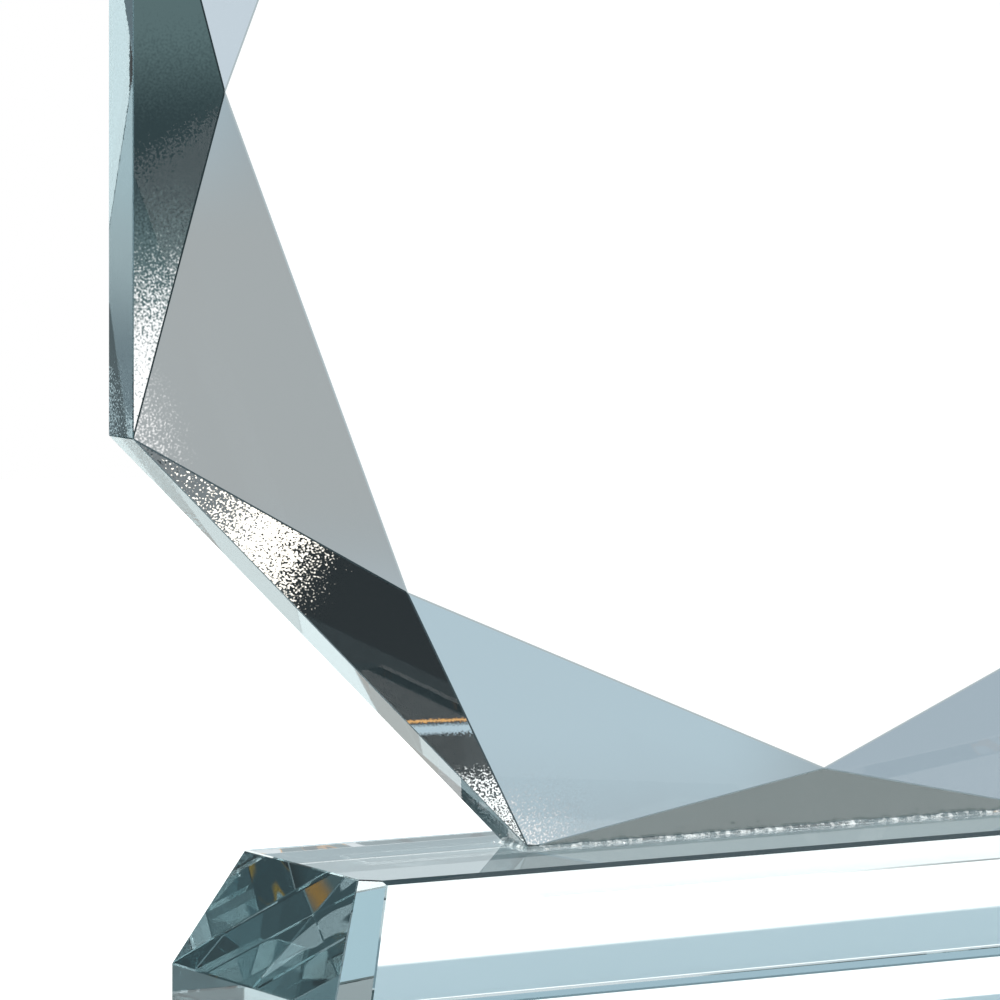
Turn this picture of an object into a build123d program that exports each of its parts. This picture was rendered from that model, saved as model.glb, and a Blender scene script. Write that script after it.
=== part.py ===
"""Crystal award: an octagonal faceted plaque, bonded upright on a bevelled crystal base.

Frame: millimetres, +Z up, the award faces -Y, and the origin is the centre of the base's underside.
Each crystal piece starts as a plain blank, and its facets are ground off it as flat cuts.
"""

import os
from math import radians, tan

from build123d import *

# Plaque: a square outline with its four corners cut off.
PLAQUE_SIZE = 180.0
CORNER_CUT_X = 52.7
CORNER_CUT_Z = 50.5
EDGE_THICKNESS = 6.1  # side face, from the back to the start of the facets
FACET_HEIGHT = 7.0  # from the side face's front edge to the table
TABLE_RADIUS = 82.0  # centre of the table to each of its eight corners
TABLE_CORNERS = 8

# Base: a vertical foot wall, then four sides sloping in to the top.
BASE_HEIGHT = 25.6
WALL_HEIGHT = 11.6
TOP_LENGTH = 133.8
TOP_DEPTH = 29.8
SLOPE_SPREAD = 6.4  # how far each side slopes out, from the top down to the wall
FRONT_CORNER_TOP = 2.5  # legs of the 45 degree flats on the two front corners
FRONT_CORNER_WALL = 3.1

# Clear adhesive: the film under the plaque, and what was pressed out around it.
BOND_THICKNESS = 0.2
BOND_SQUEEZE_OUT = 0.8

# Widths of the fine bevels that take the sharpness off every arris.
PLAQUE_ARRIS = 0.2
BASE_ARRIS = 0.25
BASE_TOP_FRONT_ARRIS = 0.9

SIDE_FRONT_Y = -1.0  # front edge of the plaque's side face, from the middle of the base
PLAQUE_BACK_Y = SIDE_FRONT_Y + EDGE_THICKNESS
TABLE_Y = SIDE_FRONT_Y - FACET_HEIGHT
PLAQUE_CENTRE_Z = BASE_HEIGHT + BOND_THICKNESS + PLAQUE_SIZE / 2
FOOT_LENGTH = PLAQUE_SIZE - 2 * CORNER_CUT_X


def outline_corners():
    """The plaque's eight outline corners as (x, z) from its centre, anticlockwise from the right."""
    half = PLAQUE_SIZE / 2
    right = [(half, half - CORNER_CUT_Z), (half - CORNER_CUT_X, half)]
    left = [(-x, z) for x, z in reversed(right)]
    upper = right + left
    return upper + [(-x, -z) for x, z in upper]


def table_corner(number):
    """A corner of the flat front table, counted anticlockwise from the upper right diagonal."""
    turn = 360 / TABLE_CORNERS * (number + 1)
    return Vector(TABLE_RADIUS, 0, 0).rotate(Axis.Y, -turn) + Vector(0, TABLE_Y, PLAQUE_CENTRE_Z)


def facet_plane(first, second, third):
    """The plane through three corners of the plaque, facing out of it."""
    normal = (second - first).cross(third - first).normalized()
    inside = Vector(0, PLAQUE_BACK_Y, PLAQUE_CENTRE_Z)
    outward = normal if normal.dot(first - inside) > 0 else -normal
    return Plane(origin=first, z_dir=outward)


def plaque_facets():
    """Eight steep facets, one on each side, and eight shallow ones, one at each outline corner."""
    corners = [Vector(x, SIDE_FRONT_Y, PLAQUE_CENTRE_Z + z) for x, z in outline_corners()]
    planes = []
    for number, corner in enumerate(corners):
        next_corner = corners[(number + 1) % len(corners)]
        # Steep: from one side of the outline up to one corner of the table.
        planes.append(facet_plane(corner, next_corner, table_corner(number)))
        # Shallow: from one side of the table down to one corner of the outline.
        planes.append(facet_plane(table_corner(number - 1), table_corner(number), corner))
    return planes


def arris_planes(solid, edges, width):
    """For each convex edge, the plane that grinds a flat of this width along it."""
    planes = []
    for edge in edges:
        first, second = [face.normal_at() for face in solid.faces() if edge in face.edges()]
        outward = (first + second).normalized()
        depth = width / 2 * tan(radians(first.get_angle(second)) / 2)
        planes.append(Plane(origin=edge.center() - outward * depth, z_dir=outward))
    return planes


os.makedirs("parts", exist_ok=True)

# The plaque's blank is an octagonal plate, standing on one of its sides.
blank_plane = Plane(origin=(0, PLAQUE_BACK_Y, PLAQUE_CENTRE_Z), x_dir=(1, 0, 0), z_dir=(0, -1, 0))
with BuildPart() as octagon_plaque:
    with BuildSketch(blank_plane):
        with BuildLine():
            Polyline(*outline_corners(), close=True)
        make_face()
    extrude(amount=EDGE_THICKNESS + FACET_HEIGHT)
    for plane in plaque_facets():
        split(bisect_by=plane, keep=Keep.BOTTOM)
    for plane in arris_planes(octagon_plaque.part, octagon_plaque.edges(), PLAQUE_ARRIS):
        split(bisect_by=plane, keep=Keep.BOTTOM)
octagon_plaque.part.label = "octagon_plaque"

with BuildPart() as base_block:
    wall_length = TOP_LENGTH + 2 * SLOPE_SPREAD
    wall_depth = TOP_DEPTH + 2 * SLOPE_SPREAD
    with BuildSketch() as wall_outline:
        Rectangle(wall_length, wall_depth)
        chamfer(wall_outline.vertices().group_by(Axis.Y)[0], FRONT_CORNER_WALL)
    extrude(amount=WALL_HEIGHT)
    with BuildSketch(Plane.XY.offset(WALL_HEIGHT)):
        add(wall_outline.sketch)
    with BuildSketch(Plane.XY.offset(BASE_HEIGHT)) as top_outline:
        Rectangle(TOP_LENGTH, TOP_DEPTH)
        chamfer(top_outline.vertices().group_by(Axis.Y)[0], FRONT_CORNER_TOP)
    loft()
    sharp_edges = base_block.edges()
    top_front_edge = sharp_edges.group_by(Axis.Z)[-1].sort_by(Axis.Y)[0]
    fine_edges = sharp_edges - [top_front_edge]
    grinding = arris_planes(base_block.part, fine_edges, BASE_ARRIS)
    grinding += arris_planes(base_block.part, [top_front_edge], BASE_TOP_FRONT_ARRIS)
    for plane in grinding:
        split(bisect_by=plane, keep=Keep.BOTTOM)
base_block.part.label = "base_block"

# One cured layer: the film under the plaque's foot, with a thin skirt pressed out around it.
with BuildPart() as adhesive_bond:
    with BuildSketch(Plane.XY.offset(BASE_HEIGHT)):
        with Locations((0, SIDE_FRONT_Y + EDGE_THICKNESS / 2)):
            Rectangle(FOOT_LENGTH + 2 * BOND_SQUEEZE_OUT, EDGE_THICKNESS + 2 * BOND_SQUEEZE_OUT)
    extrude(amount=BOND_THICKNESS)
    fillet(adhesive_bond.edges().filter_by(Axis.Z), BOND_SQUEEZE_OUT)
adhesive_bond.part.label = "adhesive_bond"

export_step(octagon_plaque.part, "parts/octagon_plaque.step")
export_step(base_block.part, "parts/base_block.step")
export_step(adhesive_bond.part, "parts/adhesive_bond.step")
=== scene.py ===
"""Looks for a crystal award: faceted plaque, bevelled base and the clear adhesive between them."""

import math
import random

import bmesh
import bpy
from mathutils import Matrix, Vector, noise


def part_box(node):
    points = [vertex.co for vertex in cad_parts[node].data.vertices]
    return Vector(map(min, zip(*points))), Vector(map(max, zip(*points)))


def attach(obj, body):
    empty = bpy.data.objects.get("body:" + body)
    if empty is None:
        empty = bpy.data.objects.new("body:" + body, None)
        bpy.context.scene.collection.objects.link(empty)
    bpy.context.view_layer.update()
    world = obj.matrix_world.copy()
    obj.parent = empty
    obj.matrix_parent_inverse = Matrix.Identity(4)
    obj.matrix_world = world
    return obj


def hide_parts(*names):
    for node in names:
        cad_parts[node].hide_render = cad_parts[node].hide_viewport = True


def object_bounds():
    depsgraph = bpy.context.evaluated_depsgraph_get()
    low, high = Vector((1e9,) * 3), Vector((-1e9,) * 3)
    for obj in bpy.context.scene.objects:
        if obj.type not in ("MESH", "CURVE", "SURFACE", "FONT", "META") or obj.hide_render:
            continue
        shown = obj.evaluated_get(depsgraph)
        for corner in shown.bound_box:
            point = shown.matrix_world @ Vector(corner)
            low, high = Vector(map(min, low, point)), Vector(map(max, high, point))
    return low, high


MM = 0.001
WHITE = (1.0, 1.0, 1.0)

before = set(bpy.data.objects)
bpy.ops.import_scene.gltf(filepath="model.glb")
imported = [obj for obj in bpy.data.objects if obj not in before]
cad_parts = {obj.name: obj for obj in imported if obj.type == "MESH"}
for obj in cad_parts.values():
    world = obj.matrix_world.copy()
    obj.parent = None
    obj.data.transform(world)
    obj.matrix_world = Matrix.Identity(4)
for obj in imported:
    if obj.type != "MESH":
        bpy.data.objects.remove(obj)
cad_low, cad_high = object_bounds()
plaque_low, plaque_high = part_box("octagon_plaque")
base_low, base_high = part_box("base_block")
bond_low, bond_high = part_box("adhesive_bond")
plaque_centre = (plaque_low + plaque_high) / 2
plaque_width = plaque_high.x - plaque_low.x
scene = bpy.context.scene


# --- Node helpers -----------------------------------------------------------------------------


def add_node(tree, kind, inputs=None, **settings):
    """A new node. Inputs are values or the sockets that feed them."""
    made = tree.nodes.new(kind)
    for name, value in settings.items():
        setattr(made, name, value)
    for key, value in (inputs or {}).items():
        if isinstance(value, bpy.types.NodeSocket):
            tree.links.new(value, made.inputs[key])
        else:
            made.inputs[key].default_value = value
    return made


def calc(tree, operation, *values):
    """One step of arithmetic on numbers and sockets."""
    return add_node(tree, "ShaderNodeMath", dict(enumerate(values)), operation=operation).outputs[0]


def remap(tree, value, start, end, low=0.0, high=1.0, kind="SMOOTHSTEP"):
    """value, moved from start..end to low..high and held there."""
    inputs = {"Value": value, "From Min": start, "From Max": end, "To Min": low, "To Max": high}
    return add_node(tree, "ShaderNodeMapRange", inputs, interpolation_type=kind).outputs["Result"]


def mix_colours(tree, share, first, second):
    """first where share is 0, second where it is 1."""
    made = add_node(tree, "ShaderNodeMix", data_type="RGBA")
    for socket, value in ((0, share), (6, first), (7, second)):
        if isinstance(value, bpy.types.NodeSocket):
            tree.links.new(value, made.inputs[socket])
        else:
            made.inputs[socket].default_value = (*value, 1.0) if socket else value
    return made.outputs[2]


def all_of(tree, *conditions):
    """The product of the conditions: 1 where each of them is 1."""
    result = conditions[0]
    for condition in conditions[1:]:
        result = calc(tree, "MULTIPLY", result, condition)
    return result


def between(tree, value, low, high):
    """1 where value lies between low and high."""
    return all_of(tree, calc(tree, "GREATER_THAN", value, low), calc(tree, "LESS_THAN", value, high))


def new_material(name):
    material = bpy.data.materials.new(name)
    material.use_nodes = True
    material.node_tree.nodes.clear()
    return material, material.node_tree


# --- Studio -----------------------------------------------------------------------------------

# The studio turns with the camera: each card is (azimuth, elevation) from the view direction, in
# degrees, its half width and half height, how soft its edge is, its colour and any turn of its own.
# A later card covers an earlier one.
CARDS = [
    # Just right of the view direction and over it: what the shallow facets look at.
    (7.6, 0.6, 3.0, 1.9, 1.4, (0.70, 0.80, 0.88)),
    (8.6, 4.6, 3.0, 1.9, 0.9, (0.47, 0.505, 0.515)),
    (4.6, 8.0, 2.8, 1.5, 0.9, (0.54, 0.69, 0.77)),
    (-1.8, 8.6, 2.2, 1.8, 1.4, (0.42, 0.52, 0.595)),
    # Over the object: what the base's top reflects.
    (0.0, 14.0, 9.0, 3.2, 0.7, (0.64, 0.72, 0.75)),
    # What the upper left steep facet looks at: a dim card, a dark band and a low white card.
    (24.0, 6.0, 4.5, 6.0, 0.3, (0.105, 0.165, 0.17)),
    (24.0, 2.6, 4.5, 0.7, 0.5, (0.03, 0.05, 0.055)),
    (24.0, -4.3, 4.5, 5.45, 0.5, (1.2, 1.2, 1.2)),
    # Upper right: a narrow bright gap between dark flags.
    (17.5, 14.0, 3.5, 3.5, 0.5, (0.012, 0.018, 0.021)),
    (15.5, 14.7, 0.85, 1.4, 0.5, (0.20, 0.22, 0.23), 45.0),
    (16.72, 14.12, 0.34, 1.4, 0.25, (2.0, 1.9, 1.7), 45.0),
    (19.4, 12.53, 1.4, 0.035, 0.02, (0.42, 0.56, 0.64)),
    (19.4, 12.6, 1.4, 0.010, 0.01, (0.8, 0.42, 0.12)),
    (19.6, 11.7, 1.4, 0.36, 0.12, (1.2, 1.25, 1.25)),
    # High up: what the lowest facet looks at, what the base's underside reflects and an amber sliver.
    (5.0, 25.0, 6.0, 2.6, 0.8, (0.155, 0.19, 0.19)),
    (5.0, 31.0, 9.0, 3.4, 0.8, (0.38, 0.54, 0.62)),
    (-18.7, 25.4, 0.3, 1.2, 0.25, (0.9, 0.35, 0.03)),
    # Right side.
    (60.0, -1.9, 14.0, 6.0, 0.6, (0.12, 0.17, 0.20)),
    (64.0, 12.0, 8.0, 7.0, 0.5, (0.75, 0.86, 0.90)),
    (53.0, 6.0, 4.0, 3.0, 0.5, (0.045, 0.075, 0.085)),
    # Behind the camera: a narrow lit strip high up and a small softbox.
    (134.0, 73.5, 30.0, 1.0, 0.5, (1.6, 1.6, 1.6)),
    (126.0, -3.0, 3.0, 3.0, 0.5, (1.3, 1.3, 1.3)),
    # Low on the left: what the lower left side face mirrors.
    (-20.0, -25.0, 9.0, 9.0, 4.0, (1.5, 1.55, 1.5)),
]
# Backdrop colour by how far a ray leans from the view direction, in degrees.
BACKDROP = [
    (7.1, (0.44, 0.52, 0.57)),
    (9.0, (0.38, 0.46, 0.50)),
    (14.0, (0.06, 0.08, 0.085)),
    (24.0, (0.10, 0.14, 0.14)),
    (40.0, (0.26, 0.33, 0.34)),
    (60.0, (0.62, 0.68, 0.70)),
    (100.0, (0.85, 0.90, 0.92)),
    (125.0, (0.06, 0.10, 0.11)),
    (180.0, (0.05, 0.08, 0.09)),
]
# The white core of the backdrop ends between these two angles.
BACKDROP_EDGE = (6.1, 7.1)
BACKDROP_WHITE = (1.15, 1.15, 1.15)
# The lean is measured as a rounded square below the first of these angles, and as a cone past the second.
ROUND_LEAN = (15.0, 30.0)
# The dim room begins between these angles from the view direction, and only right of this azimuth.
ROOM_START = (70.0, 85.0)
ROOM_AZIMUTH = 25.0
# Painted shade on the floor, glowing tones seen only through the crystal: far to the right, under the base,
# under it looking back, and steeply down behind it.
PAINTED_SHADE_PALE = (0.50, 0.70, 0.78)
PAINTED_SHADE_UNDER = (0.46, 0.55, 0.58)
PAINTED_SHADE_BACK = (0.25, 0.36, 0.41)
PAINTED_SHADE_DARK = (0.03, 0.05, 0.06)
# Heading that sees the pale painted shade, in radians to the right of straight back, and how far off it the
# shade fades in.
PALE_HEADING = 1.15
PALE_REACH = (0.35, 0.2)
# Half width, front and back of the part of the floor that the base looks at.
PAPER_ZONE = (110 * MM, -24 * MM, 65 * MM)
# Amber streaks, painted dispersed light, show only under the base's ends, further out than this. The
# streaks' size comes next.
AMBER_FROM = 45 * MM
FLOOR_STREAK = 9 * MM
# The dim room's tones. On the floor they are a painted reflection, and the amber stands in for dispersed
# light.
ROOM_TEAL = (0.080, 0.135, 0.150)
ROOM_DARK = (0.008, 0.011, 0.013)
ROOM_AMBER = (0.95, 0.42, 0.04)
ROOM_LIGHT = (0.85, 0.88, 0.90)


def turned(tree, across, along, angle):
    """The point (across, along) turned anticlockwise by angle."""
    side, rise = math.cos(angle), math.sin(angle)
    new_across = calc(
        tree, "SUBTRACT", calc(tree, "MULTIPLY", across, side), calc(tree, "MULTIPLY", along, rise)
    )
    new_along = calc(tree, "ADD", calc(tree, "MULTIPLY", across, rise), calc(tree, "MULTIPLY", along, side))
    return new_across, new_along


def studio_colour(tree, ray):
    """What the studio shows in the direction ray, which is in the camera's own axes."""
    part = add_node(tree, "ShaderNodeSeparateXYZ", {0: ray}).outputs
    azimuth = calc(tree, "DEGREES", calc(tree, "ARCTAN2", part[0], part[2]))
    elevation = calc(tree, "DEGREES", calc(tree, "ARCSINE", part[1]))
    # A rounded square, so that the white backdrop fills the picture's corners.
    fourth = [calc(tree, "POWER", calc(tree, "ABSOLUTE", angle), 4.0) for angle in (azimuth, elevation)]
    near = calc(tree, "POWER", calc(tree, "ADD", *fourth), 0.25)
    far = calc(tree, "DEGREES", calc(tree, "ARCCOSINE", part[2]))
    lean = add_node(
        tree,
        "ShaderNodeMix",
        {0: remap(tree, far, *ROUND_LEAN), 2: near, 3: far},
        data_type="FLOAT",
    ).outputs[0]
    colour = BACKDROP[0][1]
    for (start, _), (end, next_colour) in zip(BACKDROP, BACKDROP[1:]):
        colour = mix_colours(tree, remap(tree, lean, start, end, kind="LINEAR"), colour, next_colour)
    for card_azimuth, card_elevation, half_width, half_height, soft, card_colour, *turn in CARDS:
        across = calc(tree, "SUBTRACT", azimuth, card_azimuth)
        along = calc(tree, "SUBTRACT", elevation, card_elevation)
        if turn:
            across, along = turned(tree, across, along, math.radians(*turn))
        across = calc(tree, "ABSOLUTE", across)
        along = calc(tree, "ABSOLUTE", along)
        inside = calc(
            tree,
            "MULTIPLY",
            remap(tree, across, half_width + soft, half_width - soft),
            remap(tree, along, half_height + soft, half_height - soft),
        )
        colour = mix_colours(tree, inside, colour, card_colour)
    colour = mix_colours(tree, remap(tree, near, *BACKDROP_EDGE), BACKDROP_WHITE, colour)
    # To the right and behind, light that has bounced round inside the crystal sees the dim room instead.
    behind = calc(tree, "MULTIPLY", bounced_round(tree), remap(tree, far, *ROOM_START))
    behind = calc(tree, "MULTIPLY", behind, calc(tree, "GREATER_THAN", azimuth, ROOM_AZIMUTH))
    return mix_colours(tree, behind, colour, room_colour(tree, ray, 5.0, amber=0.0))


def make_studio():
    world = bpy.data.worlds.new("studio")
    scene.world = world
    world.use_nodes = True
    tree = world.node_tree
    tree.nodes.clear()
    colour = studio_colour(tree, add_node(tree, "ShaderNodeTexCoord").outputs["Camera"])
    seen_directly = add_node(tree, "ShaderNodeLightPath").outputs["Is Camera Ray"]
    colour = mix_colours(tree, seen_directly, colour, WHITE)
    backdrop = add_node(tree, "ShaderNodeBackground", {"Color": colour, "Strength": 1.0})
    add_node(tree, "ShaderNodeOutputWorld", {"Surface": backdrop.outputs[0]})


def bounced_round(tree):
    """1 for light that has turned between four and eight times on its way through the crystal."""
    fewest, most = 4, 8
    depth = add_node(tree, "ShaderNodeLightPath").outputs["Ray Depth"]
    enough = calc(tree, "GREATER_THAN", depth, fewest - 0.5)
    return calc(tree, "MULTIPLY", enough, calc(tree, "LESS_THAN", depth, most + 0.5))


def room_colour(tree, place, scale, amber=1.0):
    """The dim room that light sees after bouncing round inside the crystal: teal, with black, amber and pale
    streaks; the amber is painted dispersed light. amber says how strong the amber is."""
    mapped = add_node(tree, "ShaderNodeMapping", {"Vector": place, "Scale": (1.0, 0.45, 1.0)})
    streaks = add_node(
        tree,
        "ShaderNodeTexNoise",
        {"Vector": mapped.outputs[0], "Scale": scale, "Detail": 1.0, "Distortion": 1.2},
    ).outputs[0]
    # Each dark or light streak is edged with amber.
    fringe = mix_colours(tree, amber, ROOM_TEAL, ROOM_AMBER)
    colour = mix_colours(tree, remap(tree, streaks, 0.445, 0.415), ROOM_TEAL, fringe)
    colour = mix_colours(tree, remap(tree, streaks, 0.43, 0.41), colour, ROOM_DARK)
    colour = mix_colours(tree, remap(tree, streaks, 0.615, 0.64), colour, fringe)
    return mix_colours(tree, remap(tree, streaks, 0.645, 0.66), colour, ROOM_LIGHT)


def make_floor():
    radius = 0.8
    steps = 96
    gap = 0.1 * MM
    mesh = bpy.data.meshes.new("floor")
    turns = [2 * math.pi * step / steps for step in range(steps)]
    rim = [(radius * math.cos(turn), radius * math.sin(turn), cad_low.z - gap) for turn in turns]
    mesh.from_pydata(rim, [], [range(steps)])
    floor = bpy.data.objects.new("floor", mesh)
    scene.collection.objects.link(floor)
    mesh.materials.append(floor_material())


def floor_material():
    """Plain pale paper to the camera. To the crystal it glows with painted light: painted shade by direction
    near the base, the dim room's tones after many turns, and the studio's own tones further away."""
    material, tree = new_material("floor_paper")
    paper = add_node(tree, "ShaderNodeBsdfDiffuse", {"Color": (0.85, 0.85, 0.85, 1.0)})
    lift = add_node(tree, "ShaderNodeEmission", {"Color": (1, 1, 1, 1), "Strength": 0.12})
    both = add_node(tree, "ShaderNodeAddShader", {0: paper.outputs[0], 1: lift.outputs[0]})
    place = add_node(tree, "ShaderNodeTexCoord").outputs["Object"]
    where = add_node(tree, "ShaderNodeSeparateXYZ", {0: place}).outputs
    lights = add_node(tree, "ShaderNodeLightPath").outputs
    incoming = add_node(tree, "ShaderNodeNewGeometry").outputs["Incoming"]
    toward = add_node(tree, "ShaderNodeSeparateXYZ", {0: incoming}).outputs
    heading = calc(
        tree, "ARCTAN2", calc(tree, "MULTIPLY", toward[0], -1.0), calc(tree, "MULTIPLY", toward[1], -1.0)
    )
    off_centre = calc(tree, "ABSOLUTE", where[0])
    inside = calc(tree, "SUBTRACT", 1.0, lights["Is Camera Ray"])
    behind = calc(tree, "GREATER_THAN", where[1], base_high.y)
    off_pale = calc(tree, "ABSOLUTE", calc(tree, "SUBTRACT", heading, PALE_HEADING))
    from_right = remap(tree, off_pale, *PALE_REACH)
    to_right = remap(tree, heading, math.radians(40), math.radians(43))
    steeply = all_of(tree, behind, remap(tree, toward[2], 0.50, 0.58), to_right)
    beneath = all_of(
        tree,
        calc(tree, "LESS_THAN", calc(tree, "ABSOLUTE", where[1]), base_high.y),
        calc(tree, "LESS_THAN", off_centre, base_high.x),
    )
    grazing = all_of(tree, beneath, remap(tree, toward[2], 0.35, 0.25))
    to_front = remap(tree, heading, math.radians(90), math.radians(110))
    backward = all_of(tree, grazing, to_front)
    # Painted shade: each tone glows on the paper where its mask holds, for light coming from the crystal
    # only.
    painted_shades = (
        (from_right, PAINTED_SHADE_PALE),
        (grazing, PAINTED_SHADE_UNDER),
        (backward, PAINTED_SHADE_BACK),
        (steeply, PAINTED_SHADE_DARK),
    )
    shader = both
    for share, colour in painted_shades:
        glow = add_node(tree, "ShaderNodeEmission", {"Color": (*colour, 1.0), "Strength": 1.0})
        shader = add_node(
            tree,
            "ShaderNodeMixShader",
            {0: calc(tree, "MULTIPLY", share, inside), 1: shader.outputs[0], 2: glow.outputs[0]},
        )
    # Light that has bounced round inside the crystal sees the paper glow in the dim colours of the room: a
    # painted reflection, with painted amber light at the ends.
    at_ends = all_of(tree, calc(tree, "GREATER_THAN", off_centre, AMBER_FROM), beneath)
    room = room_colour(tree, place, 1 / FLOOR_STREAK, at_ends)
    dim = add_node(tree, "ShaderNodeEmission", {"Color": room, "Strength": 1.0})
    shader = add_node(
        tree, "ShaderNodeMixShader", {0: bounced_round(tree), 1: shader.outputs[0], 2: dim.outputs[0]}
    )
    # Away from the base the crystal sees the paper glow with the studio's own tones: painted light in place
    # of the studio beyond.
    ray = add_node(tree, "ShaderNodeVectorMath", {0: incoming, "Scale": -1.0}, operation="SCALE").outputs[0]
    ray = add_node(
        tree,
        "ShaderNodeVectorTransform",
        {0: ray},
        vector_type="VECTOR",
        convert_from="WORLD",
        convert_to="CAMERA",
    ).outputs[0]
    studio = add_node(tree, "ShaderNodeEmission", {"Color": studio_colour(tree, ray), "Strength": 1.0})
    half_width, zone_front, zone_back = PAPER_ZONE
    zone = all_of(
        tree,
        calc(tree, "LESS_THAN", off_centre, half_width),
        calc(tree, "GREATER_THAN", where[1], zone_front),
        calc(tree, "LESS_THAN", where[1], zone_back),
    )
    paper_share = calc(tree, "MAXIMUM", zone, lights["Is Camera Ray"])
    shader = add_node(
        tree, "ShaderNodeMixShader", {0: paper_share, 1: studio.outputs[0], 2: shader.outputs[0]}
    )
    add_node(tree, "ShaderNodeOutputMaterial", {"Surface": shader.outputs[0]})
    return material


def make_key_light():
    lamp = bpy.data.lights.new("key_light", "SUN")
    lamp.energy = 5.0
    lamp.angle = math.radians(1.5)
    lamp.color = (1.0, 0.99, 0.97)
    light = bpy.data.objects.new("key_light", lamp)
    # From the front left, 52 degrees up.
    light.rotation_euler = (math.radians(38), 0, math.radians(-36))
    light.visible_glossy = False
    light.visible_transmission = False
    light.visible_camera = False
    scene.collection.objects.link(light)


def make_camera():
    camera_data = bpy.data.cameras.new("camera")
    camera_data.sensor_width = 36.0
    camera_data.lens = 228.7
    camera_data.clip_start = 0.05
    camera_data.clip_end = 50.0
    camera = bpy.data.objects.new("camera", camera_data)
    # Turned to the right of straight ahead, tipped down and rolled.
    azimuth, pitch, roll = (math.radians(angle) for angle in (30.647, 5.076, -0.314))
    ahead = Vector(
        (math.sin(azimuth) * math.cos(pitch), math.cos(azimuth) * math.cos(pitch), -math.sin(pitch))
    )
    # The picture is centred on the lower left of the table.
    aim = Vector(
        (
            plaque_centre.x - 0.2533 * plaque_width,
            plaque_low.y,
            plaque_centre.z - 0.265 * plaque_width,
        )
    )
    distance = 4.108 * plaque_width
    camera.location = aim - ahead * distance
    camera.rotation_euler = ahead.to_track_quat("-Z", "Y").to_euler()
    camera.rotation_euler.rotate_axis("Z", -roll)
    scene.collection.objects.link(camera)
    scene.camera = camera


# --- Materials --------------------------------------------------------------------------------

CRYSTAL_IOR = 1.516
ADHESIVE_IOR = 1.50
# How much light each pass leaves: the plaque's shallow facets, and as painted shade the base's sloping ends
# and the bevels.
SHALLOW_FACET_DIMNESS = (0.88, 0.88, 0.88)
END_PAINTED_SHADE = (0.44, 0.53, 0.55)
BEVEL_PAINTED_SHADE = (0.42, 0.48, 0.50)
# A plaque facet is told by how much of its normal lies along the plaque's depth.
SHALLOW_FACING = (0.85, 0.9995)
STEEP_FACING = (0.7, 0.85)
# Size of the polishing grain and how much of it every face has.
GRAIN = 0.27 * MM
GRAIN_EVERYWHERE = 0.0005
# How far the adhesive stands out all round the plaque's foot.
SQUEEZE_OUT = 0.8 * MM


def crystal_material(name, absorbed, shadow_colour, shadow_from=0.0, grain=False, dim_ends=False):
    """Polished optical crystal: clear inside apart from a faint tint, with bevels tinted darker as painted
    shade.
    Shadows are tinted behind y = shadow_from."""
    material, tree = new_material(name)
    shader = add_node(tree, "ShaderNodeBsdfGlass", {"Roughness": 0.0, "IOR": CRYSTAL_IOR})
    facing = add_node(tree, "ShaderNodeNewGeometry").outputs["True Normal"]
    facing = add_node(tree, "ShaderNodeSeparateXYZ", {0: facing}).outputs
    across, along, up = (calc(tree, "ABSOLUTE", part) for part in facing)
    passed = WHITE
    if grain:
        tree.links.new(uneven_normal(tree), shader.inputs["Normal"])
        # The shallow facets pass a little less light at each pass than the flat faces.
        passed = mix_colours(tree, between(tree, along, *SHALLOW_FACING), WHITE, SHALLOW_FACET_DIMNESS)
    if dim_ends:
        # Painted shade: the sloping ends lose some light at each pass, which keeps their many reflections
        # dark.
        sloping = calc(tree, "GREATER_THAN", up, 0.1)
        at_end = all_of(tree, sloping, calc(tree, "GREATER_THAN", across, 0.75))
        passed = mix_colours(tree, at_end, passed, END_PAINTED_SHADE)
    # Painted shade: the bevels are tinted darker, standing in for the dark lines that polished arrises show.
    bevel = add_node(tree, "ShaderNodeAttribute", attribute_name="bevel").outputs["Fac"]
    tree.links.new(mix_colours(tree, bevel, passed, BEVEL_PAINTED_SHADE), shader.inputs["Color"])
    # Shadow light passes untinted through the front, the top and the underside; the back takes some of it.
    place = add_node(tree, "ShaderNodeTexCoord").outputs["Object"]
    part = add_node(tree, "ShaderNodeSeparateXYZ", {0: place}).outputs
    above_underside = calc(tree, "GREATER_THAN", part[2], 1 * MM)
    at_back = all_of(tree, calc(tree, "GREATER_THAN", part[1], shadow_from), above_underside)
    passing = mix_colours(tree, at_back, WHITE, shadow_colour)
    through = add_node(tree, "ShaderNodeBsdfTransparent", {"Color": passing})
    shadow = add_node(tree, "ShaderNodeLightPath").outputs["Is Shadow Ray"]
    surface = add_node(tree, "ShaderNodeMixShader", {0: shadow, 1: shader.outputs[0], 2: through.outputs[0]})
    strongest = max(absorbed)
    volume_colour = [1 - value / strongest for value in absorbed]
    volume = add_node(
        tree, "ShaderNodeVolumeAbsorption", {"Color": (*volume_colour, 1.0), "Density": strongest}
    )
    add_node(
        tree,
        "ShaderNodeOutputMaterial",
        {"Surface": surface.outputs[0], "Volume": volume.outputs[0]},
    )
    return material


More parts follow.
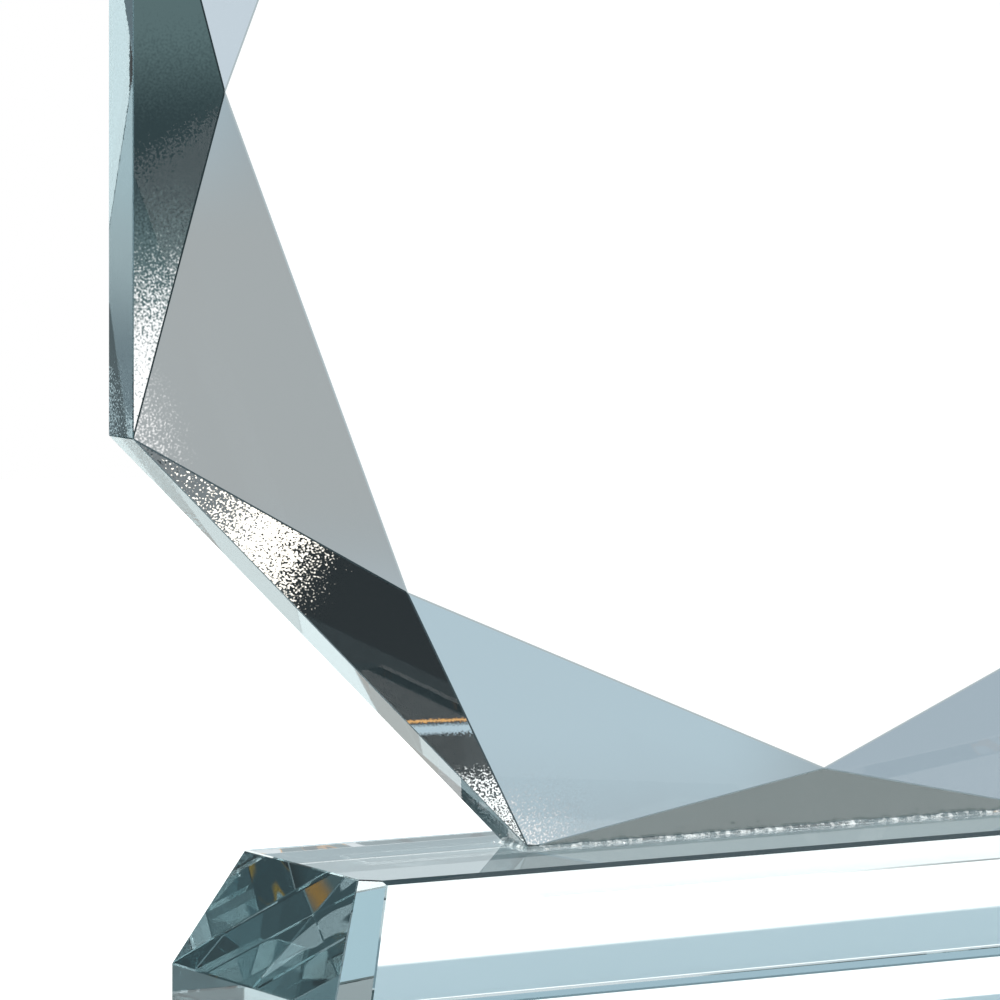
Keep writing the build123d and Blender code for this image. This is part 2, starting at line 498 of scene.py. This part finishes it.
def uneven_normal(tree):
    """Fine unevenness left by polishing the plaque, as a normal. It is strongest near the outline
    corners, and on the steep facets it spreads further from the corners at the sides."""
    place = add_node(tree, "ShaderNodeTexCoord").outputs["Object"]
    flat = add_node(tree, "ShaderNodeNewGeometry").outputs["True Normal"]
    facing = calc(tree, "ABSOLUTE", add_node(tree, "ShaderNodeSeparateXYZ", {0: flat}).outputs[1])
    steep = between(tree, facing, *STEEP_FACING)
    fine = add_node(tree, "ShaderNodeTexNoise", {"Vector": place, "Scale": 1 / GRAIN, "Detail": 0.0})
    part = add_node(tree, "ShaderNodeSeparateXYZ", {0: place}).outputs
    across = calc(tree, "ABSOLUTE", part[0])
    along = calc(tree, "ABSOLUTE", calc(tree, "SUBTRACT", part[2], plaque_centre.z))
    folded = add_node(tree, "ShaderNodeCombineXYZ", {0: across, 2: along}).outputs[0]
    side, end = (
        add_node(tree, "ShaderNodeVectorMath", {0: folded, 1: corner}, operation="DISTANCE").outputs["Value"]
        for corner in outline_corners()
    )
    close = calc(
        tree,
        "ADD",
        remap(tree, side, 1 * MM, 13 * MM, 0.055, 0.0),
        remap(tree, end, 1 * MM, 13 * MM, 0.06, 0.0),
    )
    wide = calc(
        tree,
        "ADD",
        remap(tree, side, 10 * MM, 50 * MM, 0.058, 0.0),
        remap(tree, end, 4 * MM, 20 * MM, 0.030, 0.0),
    )
    strength = calc(tree, "ADD", close, calc(tree, "MULTIPLY", steep, wide))
    strength = calc(tree, "ADD", strength, GRAIN_EVERYWHERE)
    lean = add_node(
        tree, "ShaderNodeVectorMath", {0: fine.outputs["Color"], 1: (0.5, 0.5, 0.5)}, operation="SUBTRACT"
    )
    lean = add_node(tree, "ShaderNodeVectorMath", {0: lean.outputs[0], "Scale": strength}, operation="SCALE")
    total = add_node(tree, "ShaderNodeVectorMath", {0: flat, 1: lean.outputs[0]}, operation="ADD")
    return add_node(tree, "ShaderNodeVectorMath", {0: total.outputs[0]}, operation="NORMALIZE").outputs[0]


def outline_corners():
    """The plaque's two outline corners in the upper right quarter, from its centre."""
    points = [vertex.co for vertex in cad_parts["octagon_plaque"].data.vertices]
    near = 1.0 * MM
    side = max(point.z for point in points if point.x > plaque_high.x - near)
    top = max(point.x for point in points if point.z > plaque_high.z - near)
    return (plaque_high.x, 0, side - plaque_centre.z), (top, 0, plaque_high.z - plaque_centre.z)


# --- Crystal pieces ---------------------------------------------------------------------------

# A face narrower than this is a bevel.
BEVEL_LIMIT = 0.5 * MM


def copy_of_node(node, name, tinted_to=1.0):
    """The CAD node's solid as a clean mesh: one flat polygon to each ground face. The attribute "bevel"
    marks its bevels, as far back as y = tinted_to."""
    mesh = bpy.data.meshes.new(name)
    work = bmesh.new()
    work.from_mesh(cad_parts[node].data)
    bmesh.ops.remove_doubles(work, verts=work.verts, dist=0.002 * MM)
    bmesh.ops.dissolve_limit(
        work, angle_limit=math.radians(0.2), verts=work.verts, edges=work.edges, delimit={"NORMAL"}
    )
    bmesh.ops.recalc_face_normals(work, faces=work.faces)
    work.to_mesh(mesh)
    work.free()
    bevel = mesh.attributes.new("bevel", "FLOAT", "FACE")
    for polygon in mesh.polygons:
        polygon.use_smooth = False
        corners = [mesh.vertices[index].co for index in polygon.vertices]
        rim = sum((corner - before).length for corner, before in zip(corners, corners[-1:] + corners[:-1]))
        # A long thin face is about as wide as twice its area over its rim.
        narrow = 2 * polygon.area / rim < BEVEL_LIMIT
        bevel.data[polygon.index].value = float(narrow and polygon.center.y < tinted_to)
    piece = bpy.data.objects.new(name, mesh)
    scene.collection.objects.link(piece)
    return piece


def make_plaque():
    piece = copy_of_node("octagon_plaque", "crystal_plaque")
    absorbed = (2.7, 1.6, 1.4)
    piece.data.materials.append(crystal_material("plaque_crystal", absorbed, WHITE, grain=True))
    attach(piece, "root")
    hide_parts("octagon_plaque")


def make_base():
    # A tinted bevel at the back would show as a line across the front slope.
    piece = copy_of_node("base_block", "crystal_base", tinted_to=0.0)
    # Just behind the back edge of the flat top.
    top_back = 14.95 * MM
    absorbed = (1.8, 0.9, 0.8)
    shade = (0.07, 0.18, 0.24)
    material = crystal_material("base_crystal", absorbed, shade, top_back, dim_ends=True)
    piece.data.materials.append(material)
    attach(piece, "root")
    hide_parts("base_block")


def adhesive_material():
    """Clear cured adhesive, with milky patches where it dried in the open."""
    material, tree = new_material("clear_adhesive")
    place = add_node(tree, "ShaderNodeTexCoord").outputs["Object"]
    clouds = add_node(
        tree, "ShaderNodeTexNoise", {"Vector": place, "Scale": 1 / (1.3 * MM), "Detail": 3.0}
    ).outputs[0]
    ripple = add_node(tree, "ShaderNodeBump", {"Height": clouds, "Strength": 0.5, "Distance": 0.1 * MM})
    clear = add_node(
        tree, "ShaderNodeBsdfGlass", {"Roughness": 0.02, "IOR": ADHESIVE_IOR, "Normal": ripple.outputs[0]}
    )
    milk = add_node(tree, "ShaderNodeBsdfTranslucent", {"Color": (0.95, 0.96, 0.96, 1.0)})
    matt = add_node(tree, "ShaderNodeBsdfDiffuse", {"Color": (0.95, 0.96, 0.96, 1.0)})
    milk = add_node(tree, "ShaderNodeAddShader", {0: milk.outputs[0], 1: matt.outputs[0]})
    # Only the rim outside the plaque's foot is milky.
    part = add_node(tree, "ShaderNodeSeparateXYZ", {0: place}).outputs
    beyond = []
    for axis in (0, 1):
        middle = (bond_low[axis] + bond_high[axis]) / 2
        reach = (bond_high[axis] - bond_low[axis]) / 2 - SQUEEZE_OUT
        gap = calc(tree, "ABSOLUTE", calc(tree, "SUBTRACT", part[axis], middle))
        beyond.append(calc(tree, "SUBTRACT", gap, reach))
    outside = remap(tree, calc(tree, "MAXIMUM", *beyond), 0.05 * MM, 0.25 * MM)
    cloudy = calc(tree, "MULTIPLY", outside, remap(tree, clouds, 0.45, 0.65, 0.05, 0.45))
    surface = add_node(tree, "ShaderNodeMixShader", {0: cloudy, 1: clear.outputs[0], 2: milk.outputs[0]})
    through = add_node(tree, "ShaderNodeBsdfTransparent", {"Color": (0.96, 0.97, 0.97, 1.0)})
    shadow = add_node(tree, "ShaderNodeLightPath").outputs["Is Shadow Ray"]
    surface = add_node(
        tree, "ShaderNodeMixShader", {0: shadow, 1: surface.outputs[0], 2: through.outputs[0]}
    )
    add_node(tree, "ShaderNodeOutputMaterial", {"Surface": surface.outputs[0]})
    return material


def foot_outline(step_length):
    """Points round the plaque's foot, anticlockwise from above, each with its outward direction."""
    left, right = bond_low.x + SQUEEZE_OUT, bond_high.x - SQUEEZE_OUT
    front, back = bond_low.y + SQUEEZE_OUT, bond_high.y - SQUEEZE_OUT
    corners = [(left, front), (right, front), (right, back), (left, back)]
    points = []
    for index, (x, y) in enumerate(corners):
        next_x, next_y = corners[(index + 1) % 4]
        length = math.hypot(next_x - x, next_y - y)
        ahead = Vector(((next_x - x) / length, (next_y - y) / length, 0))
        outward = Vector((ahead.y, -ahead.x, 0))
        before = Vector((outward.y, -outward.x, 0))
        for turn in (0.0, 0.25, 0.5, 0.75):
            points.append((Vector((x, y, 0)), (before * (1 - turn) + outward * turn).normalized()))
        steps = round(length / step_length)
        for step in range(steps):
            points.append((Vector((x, y, 0)) + ahead * length * (step + 0.5) / steps, outward))
    return points


def make_bond():
    """The film under the plaque's foot, the uneven skirt squeezed out round it and a few droplets."""
    overlap = 0.03 * MM
    film_inset = 0.5 * MM
    base_top, foot = base_high.z, plaque_low.z
    work = bmesh.new()
    outline = foot_outline(0.45 * MM)
    rings = []
    for point, outward in outline:
        swell = noise.noise((point + outward * MM) / (2.6 * MM)) + 0.5 * noise.noise(point / (0.8 * MM))
        width = SQUEEZE_OUT * (0.62 + 0.32 * swell)
        height = 0.34 * MM * (1 + 0.5 * swell)
        profile = (
            (-film_inset, foot + overlap),
            (-overlap, foot + overlap),
            (-overlap, foot + height),
            (0.22 * width, foot + 0.62 * height),
            (0.60 * width, foot + 0.12 * height),
            (0.90 * width, base_top + 0.10 * MM),
            (width, base_top - overlap),
        )
        rings.append([work.verts.new(point + outward * out + Vector((0, 0, z))) for out, z in profile])
    for near, far in zip(rings, rings[1:] + rings[:1]):
        for level in range(len(near) - 1):
            work.faces.new((near[level], near[level + 1], far[level + 1], far[level]))
    work.faces.new([ring[0] for ring in rings])
    work.faces.new([ring[-1] for ring in reversed(rings)])
    # Droplets lie just outside the skirt, here and there.
    droplet_share = 0.2
    chance = random.Random(4)
    for point, outward in outline[::4]:
        if chance.random() > droplet_share:
            continue
        radius = chance.uniform(0.10, 0.24) * MM
        stretch = chance.uniform(1.0, 2.2)
        along = Vector((-outward.y, outward.x, 0))
        centre = point + outward * (SQUEEZE_OUT + radius * 1.2) + Vector((0, 0, base_top + 0.35 * radius))
        ball = bmesh.ops.create_icosphere(work, subdivisions=2, radius=radius)["verts"]
        for vertex in ball:
            local = vertex.co.copy()
            vertex.co = centre + along * local.x * stretch + outward * local.y + Vector((0, 0, local.z))
    bmesh.ops.recalc_face_normals(work, faces=work.faces)
    mesh = bpy.data.meshes.new("adhesive_film")
    work.to_mesh(mesh)
    work.free()
    for polygon in mesh.polygons:
        polygon.use_smooth = len(polygon.vertices) <= 4
    piece = bpy.data.objects.new("adhesive_film", mesh)
    scene.collection.objects.link(piece)
    mesh.materials.append(adhesive_material())
    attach(piece, "root")
    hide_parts("adhesive_bond")


make_studio()
make_floor()
make_key_light()
make_camera()
make_plaque()
make_base()
make_bond()

scene.view_settings.view_transform = "Standard"
scene.cycles.max_bounces = 24
scene.cycles.transmission_bounces = 24
scene.cycles.glossy_bounces = 24
scene.cycles.transparent_max_bounces = 16
scene.cycles.caustics_refractive = True
scene.cycles.caustics_reflective = True
